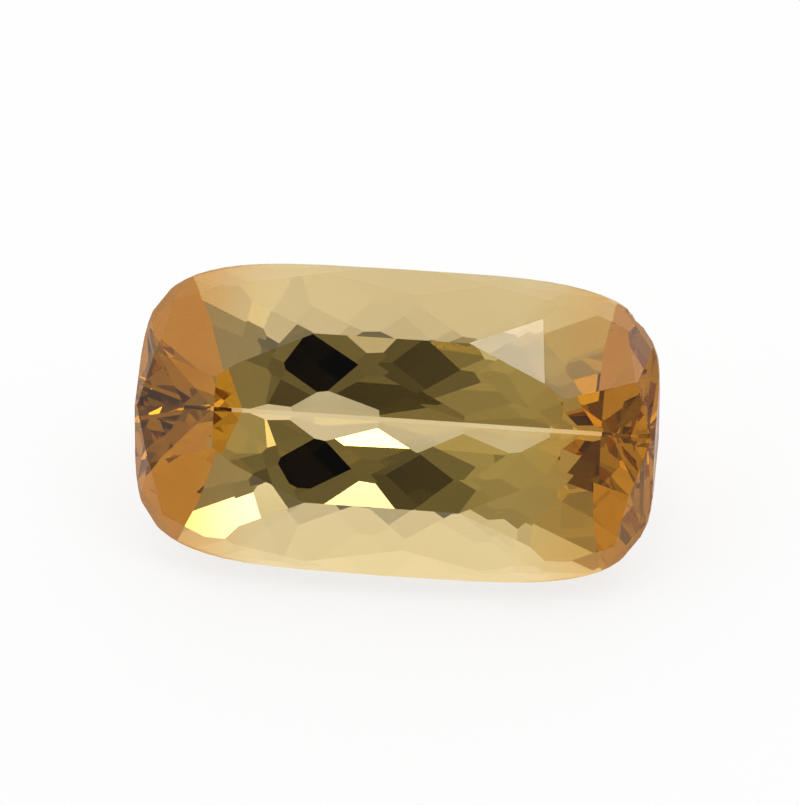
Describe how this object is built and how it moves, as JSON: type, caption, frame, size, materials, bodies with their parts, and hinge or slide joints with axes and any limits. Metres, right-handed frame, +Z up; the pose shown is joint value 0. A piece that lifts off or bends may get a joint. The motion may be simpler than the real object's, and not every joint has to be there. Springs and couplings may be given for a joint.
{
  "type": "faceted topaz gemstone",
  "caption": "Clear golden orange gem cut as an elongated cushion, with a flat table, thin girdle and offset rows of small facets beneath, lying on a facet of its underside.",
  "frame": {"origin": "middle of the base of the stone's bounding box, on the surface it lies on", "axes": "+X along the stone's length, +Z up, -Y towards the side that the table leans to"},
  "size_m": [0.0154, 0.007, 0.007],
  "materials": {
    "topaz": "polished"
  },
  "bodies": {
    "root": {"topaz": "topaz"}
  },
  "joints": []
}
